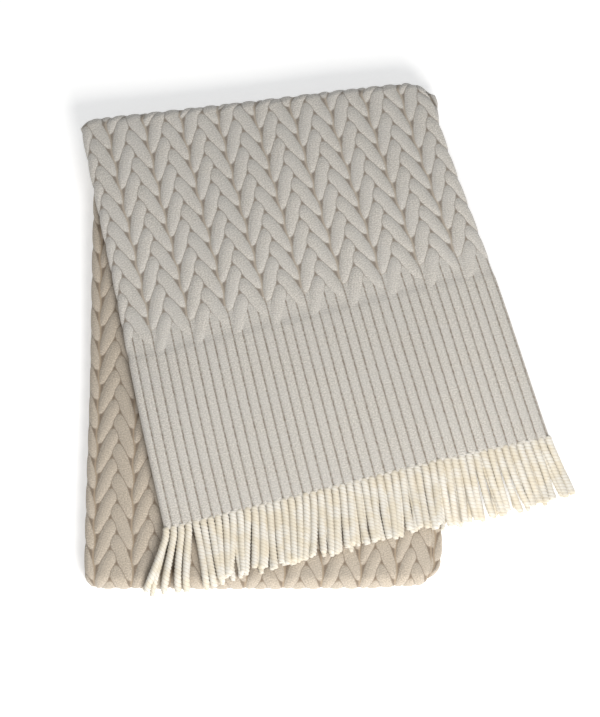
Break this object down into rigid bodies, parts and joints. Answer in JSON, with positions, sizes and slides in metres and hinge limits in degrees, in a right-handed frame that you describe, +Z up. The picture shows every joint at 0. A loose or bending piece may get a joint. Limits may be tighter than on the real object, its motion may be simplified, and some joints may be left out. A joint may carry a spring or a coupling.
{
  "type": "folded throw blanket",
  "caption": "Chunky cable-knit throw with ribbed borders and twisted fringe, folded into a flat strip and turned back on itself, its top flap swung at a slant.",
  "frame": {"origin": "centre of the underside of the lower section, on the surface the throw lies on", "axes": "+Z up out of the stack, +Y away from the front fringe towards the far fold, +X to the right, the side that the top flap swings to"},
  "size_m": [0.5914, 0.6616, 0.041],
  "materials": {
    "cable_knit": "matte knitted wool-blend yarn, raised cables",
    "ribbed_knit": "matte ribbed knit",
    "fringe_yarn": "matte twisted yarn"
  },
  "bodies": {
    "lower_section": {"lower_cable_panel": "cable_knit", "lower_ribbed_border": "ribbed_knit", "rear_fringe_outer_row": "fringe_yarn", "rear_fringe_inner_row": "fringe_yarn", "rear_fringe_under_row": "fringe_yarn", "near_fold": "cable_knit"},
    "middle_section_body": {"middle_section": "cable_knit", "far_fold": "cable_knit"},
    "top_flap": {"flap_cable_panel": "cable_knit", "flap_ribbed_border": "ribbed_knit"},
    "front_fringe": {"front_fringe_outer_row": "fringe_yarn", "front_fringe_inner_row": "fringe_yarn", "front_fringe_under_row": "fringe_yarn"}
  },
  "joints": [
    {"name": "near_fold_hinge", "type": "hinge", "parent": "lower_section", "child": "middle_section_body", "pos_m": [0, -0.2395, 0.0136], "axis": [1, 0, 0], "range_deg": [0, 180], "deforming": ["near_fold"]},
    {"name": "far_fold_hinge", "type": "hinge", "parent": "middle_section_body", "child": "top_flap", "pos_m": [-0.01518, 0.35608, 0.0274], "axis": [-0.9921, -0.1253, 0], "range_deg": [0, 180], "deforming": ["far_fold"]},
    {"name": "front_fringe_hinge", "type": "hinge", "parent": "top_flap", "child": "front_fringe", "pos_m": [0.10917, -0.12821, 0.041], "axis": [-0.9686, -0.2487, 0], "range_deg": [0, 180]}
  ]
}
